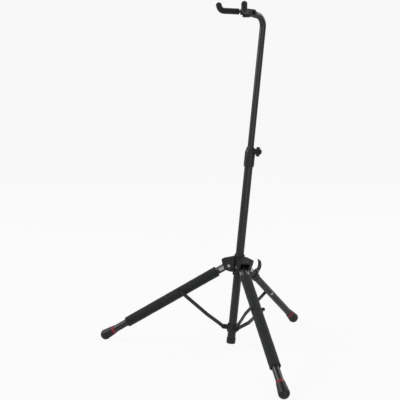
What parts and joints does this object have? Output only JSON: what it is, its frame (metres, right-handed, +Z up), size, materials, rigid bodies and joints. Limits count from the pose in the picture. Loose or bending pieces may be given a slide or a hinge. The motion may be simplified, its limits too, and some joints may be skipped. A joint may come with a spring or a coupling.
{
  "type": "hanging guitar stand",
  "caption": "Folding tripod guitar stand with a height-adjusted mast and a padded two-arm yoke that hangs the instrument by its headstock.",
  "frame": {"origin": "on the floor under the middle of the footprint", "axes": "+Z up, the front of the stand (the yoke and the two padded legs) towards -Y, +X to the stand's left as it faces the user"},
  "size_m": [0.7188, 0.561, 1.0294],
  "materials": {
    "black_foam": "matte",
    "black_plastic": "satin",
    "black_rubber": "satin",
    "black_steel": "satin",
    "black_tube": "satin",
    "brass": "satin",
    "red_plastic": "satin",
    "zinc_steel": "satin"
  },
  "bodies": {
    "mast": {"lower_tube": "black_tube", "lower_end_cap": "black_plastic", "brace_collar": "black_plastic", "collar_screw": "zinc_steel", "lower_brace_rivets": "zinc_steel", "clutch_housing": "black_plastic", "clutch_screw": "zinc_steel", "clutch_bush": "black_plastic", "clutch_insert": "brass", "clamp_shoe": "brass"},
    "neck": {"upper_tube": "black_tube", "upper_glide": "black_plastic", "neck_plug": "black_plastic", "yoke_bolt": "zinc_steel", "yoke_washers": "zinc_steel", "yoke_nut": "zinc_steel"},
    "yoke": {"yoke_block": "black_plastic", "yoke_rods": "black_steel", "yoke_pad_left": "black_foam", "yoke_pad_right": "black_foam"},
    "height_knob": {"height_knob": "black_plastic", "knob_stud": "zinc_steel"},
    "hub": {"hub": "black_plastic", "hub_bush": "black_plastic", "leg_hinge_pins": "zinc_steel"},
    "latch_lever": {"latch_lever": "black_plastic"},
    "brace_rear": {"brace_rear": "black_steel"},
    "leg_rear": {"leg_tube_rear": "black_tube", "leg_plug_rear": "black_plastic", "leg_straps_rear": "zinc_steel", "strap_rivet_rear": "zinc_steel", "brace_rivet_rear": "zinc_steel", "brace_spacer_rear": "black_plastic", "foot_rear": "black_rubber", "foot_ring_rear": "red_plastic", "latch_saddle": "black_plastic", "latch_pin": "zinc_steel"},
    "brace_left": {"brace_left": "black_steel"},
    "leg_left": {"leg_tube_left": "black_tube", "leg_plug_left": "black_plastic", "leg_straps_left": "zinc_steel", "strap_rivet_left": "zinc_steel", "brace_rivet_left": "zinc_steel", "brace_spacer_left": "black_plastic", "foot_left": "black_rubber", "foot_ring_left": "red_plastic", "foam_sleeve_left": "black_foam"},
    "brace_right": {"brace_right": "black_steel"},
    "leg_right": {"leg_tube_right": "black_tube", "leg_plug_right": "black_plastic", "leg_straps_right": "zinc_steel", "strap_rivet_right": "zinc_steel", "brace_rivet_right": "zinc_steel", "brace_spacer_right": "black_plastic", "foot_right": "black_rubber", "foot_ring_right": "red_plastic", "foam_sleeve_right": "black_foam"}
  },
  "joints": [
    {"name": "height_slide", "type": "slide", "parent": "mast", "child": "neck", "axis": [0, 0.1468, 0.9892], "range_m": [-0.34, 0.06]},
    {"name": "yoke_tilt", "type": "hinge", "parent": "neck", "child": "yoke", "pos_m": [0, 0.01804, 1.00229], "axis": [-1, 0, 0], "range_deg": [0, 95]},
    {"name": "knob_turn", "type": "hinge", "parent": "mast", "child": "height_knob", "pos_m": [0.01677, 0.02978, 0.59486], "axis": [0.9063, 0.418, -0.062], "range_deg": [0, 720]},
    {"name": "fold", "type": "hinge", "parent": "mast", "child": "brace_rear", "pos_m": [0, -0.03037, 0.05877], "axis": [1, 0, 0], "range_deg": [0, 47.75]},
    {"name": "leg_rear_turn", "type": "hinge", "parent": "brace_rear", "child": "leg_rear", "pos_m": [0, 0.12575, 0.13094], "axis": [1, 0, 0], "range_deg": [-95.5, 0]},
    {"name": "brace_left_turn", "type": "hinge", "parent": "mast", "child": "brace_left", "pos_m": [-0.02338, -0.07043, 0.06471], "axis": [-0.5, 0.8566, -0.1271], "range_deg": [0, 47.75]},
    {"name": "leg_left_turn", "type": "hinge", "parent": "brace_left", "child": "leg_left", "pos_m": [-0.14795, -0.12773, 0.16855], "axis": [-0.5, 0.8566, -0.1271], "range_deg": [-95.5, 0]},
    {"name": "brace_right_turn", "type": "hinge", "parent": "mast", "child": "brace_right", "pos_m": [0.02338, -0.07043, 0.06471], "axis": [-0.5, -0.8566, 0.1271], "range_deg": [0, 47.75]},
    {"name": "leg_right_turn", "type": "hinge", "parent": "brace_right", "child": "leg_right", "pos_m": [0.14795, -0.12773, 0.16855], "axis": [-0.5, -0.8566, 0.1271], "range_deg": [-95.5, 0]},
    {"name": "hub_turn", "type": "hinge", "parent": "leg_rear", "child": "hub", "pos_m": [0, -0.00269, 0.24534], "axis": [1, 0, 0], "range_deg": [0, 47.75]},
    {"name": "latch_press", "type": "hinge", "parent": "leg_rear", "child": "latch_lever", "pos_m": [0, 0.06245, 0.218], "axis": [1, 0, 0], "range_deg": [0, 35], "stiffness_Nm_per_rad": 0.05, "springref_deg": -28.65}
  ],
  "couplings": [
    {"joint": "leg_rear_turn", "follows": "fold", "ratio": -2},
    {"joint": "hub_turn", "follows": "fold", "ratio": 1},
    {"joint": "brace_left_turn", "follows": "fold", "ratio": 1},
    {"joint": "leg_left_turn", "follows": "fold", "ratio": -2},
    {"joint": "brace_right_turn", "follows": "fold", "ratio": 1},
    {"joint": "leg_right_turn", "follows": "fold", "ratio": -2}
  ]
}
